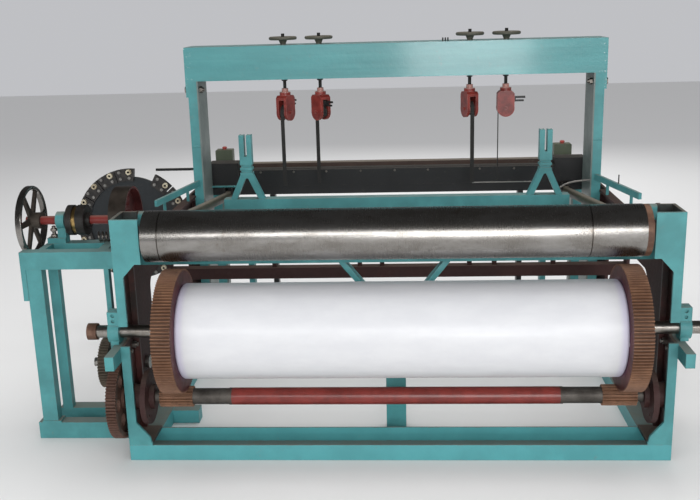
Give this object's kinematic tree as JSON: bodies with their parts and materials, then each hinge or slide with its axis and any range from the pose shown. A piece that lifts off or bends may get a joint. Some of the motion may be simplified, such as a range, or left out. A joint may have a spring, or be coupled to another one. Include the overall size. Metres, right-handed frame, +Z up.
{
  "type": "power loom",
  "caption": "Power loom seen from its warp side: wrapped warp beam between ring gears, steel top roller, teal cast frame, overhead beam with lifting screws, drive bay with flywheel and pulley.",
  "frame": {"origin": "centre of the front sill's underside, on the floor below the warp beam", "axes": "+X along the warp beam to the right as seen from the warp side, +Y towards the weaver's side, +Z up"},
  "size_m": [2.761, 2.01, 1.56],
  "materials": {
    "teal_paint": "satin",
    "dark_red_paint": "satin",
    "red_paint": "gloss",
    "red_brown_gear": "matt",
    "grey_gear": "matt",
    "bare_steel": "satin",
    "black_paint": "satin",
    "brown_paint": "satin",
    "olive_paint": "satin",
    "wrapped_warp": "satin",
    "wheel_paint": "matt",
    "strap": "matt",
    "bolt_steel": "matt"
  },
  "bodies": {
    "frame": {"left_front_post": "teal_paint", "right_front_post": "teal_paint", "side_plates": "dark_red_paint", "base_frame": "teal_paint", "beam_arms": "teal_paint", "beam_clamps": "teal_paint", "front_tie": "teal_paint", "frame_posts": "teal_paint", "overhead_beam": "teal_paint", "heald_guides": "teal_paint", "side_bars": "teal_paint", "bay_top_frame": "teal_paint", "bay_stand": "teal_paint", "shaft_bearings": "teal_paint", "breast_beam": "brown_paint", "stop_boxes": "olive_paint", "mid_rail": "dark_red_paint", "idler_stub": "bare_steel", "frame_bearings": "dark_red_paint", "disc_bracket": "teal_paint", "frame_bolts": "bolt_steel"},
    "warp_beam": {"warp_axle": "bare_steel", "warp_roll": "wrapped_warp", "left_ring_gear": "red_brown_gear", "right_ring_gear": "red_brown_gear"},
    "let_off_shaft": {"pinion_shaft": "red_paint", "pinions": "grey_gear", "let_off_gear": "red_brown_gear"},
    "idler": {"idler_gear": "grey_gear"},
    "roller": {"top_roller": "bare_steel"},
    "crankshaft": {"main_shaft": "red_paint", "crank_webs": "bare_steel", "flywheel": "bare_steel", "clutch_drum": "black_paint", "drive_pulley": "brown_paint"},
    "disc": {"pin_disc": "black_paint", "disc_pins": "black_paint"},
    "sley": {"sley_beam": "black_paint", "sley_swords": "black_paint"},
    "left_rod": {"left_connecting_rod": "olive_paint"},
    "right_rod": {"right_connecting_rod": "olive_paint"},
    "left_button": {"left_stop_button": "red_paint"},
    "right_button": {"right_stop_button": "red_paint"},
    "handwheel_body_1": {"handwheel_1": "wheel_paint"},
    "hanger_body_1": {"hanger_1": "red_paint", "strap_1": "strap"},
    "sheave_body_1": {"sheave_1": "black_paint"},
    "handwheel_body_2": {"handwheel_2": "wheel_paint"},
    "hanger_body_2": {"hanger_2": "red_paint", "strap_2": "strap"},
    "sheave_body_2": {"sheave_2": "black_paint"},
    "handwheel_body_3": {"handwheel_3": "wheel_paint"},
    "hanger_body_3": {"hanger_3": "red_paint", "strap_3": "strap"},
    "sheave_body_3": {"sheave_3": "black_paint"},
    "handwheel_body_4": {"handwheel_4": "wheel_paint"},
    "hanger_body_4": {"hanger_4": "red_paint", "strap_4": "strap"},
    "sheave_body_4": {"sheave_4": "black_paint"}
  },
  "joints": [
    {"name": "warp_beam_turn", "type": "hinge", "parent": "frame", "child": "warp_beam", "pos_m": [0, -0.014, 0.506], "axis": [1, 0, 0], "continuous": true},
    {"name": "let_off_turn", "type": "hinge", "parent": "frame", "child": "let_off_shaft", "pos_m": [0, -0.014, 0.238], "axis": [1, 0, 0], "continuous": true},
    {"name": "idler_turn", "type": "hinge", "parent": "frame", "child": "idler", "pos_m": [-1.1, 0.19256, 0.30115], "axis": [1, 0, 0], "continuous": true},
    {"name": "roller_turn", "type": "hinge", "parent": "frame", "child": "roller", "pos_m": [0, -0.008, 0.876], "axis": [1, 0, 0], "continuous": true},
    {"name": "crankshaft_turn", "type": "hinge", "parent": "frame", "child": "crankshaft", "pos_m": [0, 0.268, 0.88], "axis": [1, 0, 0], "continuous": true},
    {"name": "disc_turn", "type": "hinge", "parent": "frame", "child": "disc", "pos_m": [-1.351, 1.3, 0.621], "axis": [0, 1, 0], "continuous": true},
    {"name": "sley_swing", "type": "hinge", "parent": "frame", "child": "sley", "pos_m": [0, 1.442, 0.15], "axis": [-1, 0, 0], "range_deg": [0, 9]},
    {"name": "left_rod_swing", "type": "hinge", "parent": "sley", "child": "left_rod", "pos_m": [-0.86, 1.374, 0.748], "axis": [-1, 0, 0], "range_deg": [-9, 0]},
    {"name": "right_rod_swing", "type": "hinge", "parent": "sley", "child": "right_rod", "pos_m": [0.86, 1.374, 0.748], "axis": [-1, 0, 0], "range_deg": [-9, 0]},
    {"name": "left_button_press", "type": "slide", "parent": "frame", "child": "left_button", "axis": [0, 0, 1], "range_m": [-0.005, 0], "stiffness_N_per_m": 400, "springref_m": 0.003},
    {"name": "right_button_press", "type": "slide", "parent": "frame", "child": "right_button", "axis": [0, 0, 1], "range_m": [-0.005, 0], "stiffness_N_per_m": 400, "springref_m": 0.003},
    {"name": "handwheel_1_turn", "type": "hinge", "parent": "frame", "child": "handwheel_body_1", "pos_m": [-0.534, 1.28, 1.53], "axis": [0, 0, 1], "range_deg": [-720, 720]},
    {"name": "hanger_1_lift", "type": "slide", "parent": "frame", "child": "hanger_body_1", "axis": [0, 0, 1], "range_m": [-0.008, 0.008]},
    {"name": "sheave_1_turn", "type": "hinge", "parent": "hanger_body_1", "child": "sheave_body_1", "pos_m": [-0.534, 1.28, 1.182], "axis": [-0.9063, 0.4226, 0], "continuous": true},
    {"name": "handwheel_2_turn", "type": "hinge", "parent": "frame", "child": "handwheel_body_2", "pos_m": [-0.36, 1.28, 1.53], "axis": [0, 0, 1], "range_deg": [-720, 720]},
    {"name": "hanger_2_lift", "type": "slide", "parent": "frame", "child": "hanger_body_2", "axis": [0, 0, 1], "range_m": [-0.008, 0.008]},
    {"name": "sheave_2_turn", "type": "hinge", "parent": "hanger_body_2", "child": "sheave_body_2", "pos_m": [-0.36, 1.28, 1.182], "axis": [0.766, 0.6428, 0], "continuous": true},
    {"name": "handwheel_3_turn", "type": "hinge", "parent": "frame", "child": "handwheel_body_3", "pos_m": [0.367, 1.28, 1.53], "axis": [0, 0, 1], "range_deg": [-720, 720]},
    {"name": "hanger_3_lift", "type": "slide", "parent": "frame", "child": "hanger_body_3", "axis": [0, 0, 1], "range_m": [-0.008, 0.008]},
    {"name": "sheave_3_turn", "type": "hinge", "parent": "hanger_body_3", "child": "sheave_body_3", "pos_m": [0.367, 1.28, 1.182], "axis": [-0.9397, -0.342, 0], "continuous": true},
    {"name": "handwheel_4_turn", "type": "hinge", "parent": "frame", "child": "handwheel_body_4", "pos_m": [0.541, 1.28, 1.53], "axis": [0, 0, 1], "range_deg": [-720, 720]},
    {"name": "hanger_4_lift", "type": "slide", "parent": "frame", "child": "hanger_body_4", "axis": [0, 0, 1], "range_m": [-0.008, 0.008]},
    {"name": "sheave_4_turn", "type": "hinge", "parent": "hanger_body_4", "child": "sheave_body_4", "pos_m": [0.541, 1.28, 1.182], "axis": [0, 1, 0], "continuous": true}
  ],
  "couplings": [
    {"joint": "let_off_turn", "follows": "warp_beam_turn", "ratio": -6.4444},
    {"joint": "idler_turn", "follows": "warp_beam_turn", "ratio": 16.756},
    {"joint": "left_rod_swing", "follows": "sley_swing", "ratio": -1},
    {"joint": "right_rod_swing", "follows": "sley_swing", "ratio": -1},
    {"joint": "handwheel_1_turn", "follows": "hanger_1_lift", "rad_per_m": 1570.8},
    {"joint": "handwheel_2_turn", "follows": "hanger_2_lift", "rad_per_m": 1570.8},
    {"joint": "handwheel_3_turn", "follows": "hanger_3_lift", "rad_per_m": 1570.8},
    {"joint": "handwheel_4_turn", "follows": "hanger_4_lift", "rad_per_m": 1570.8}
  ]
}
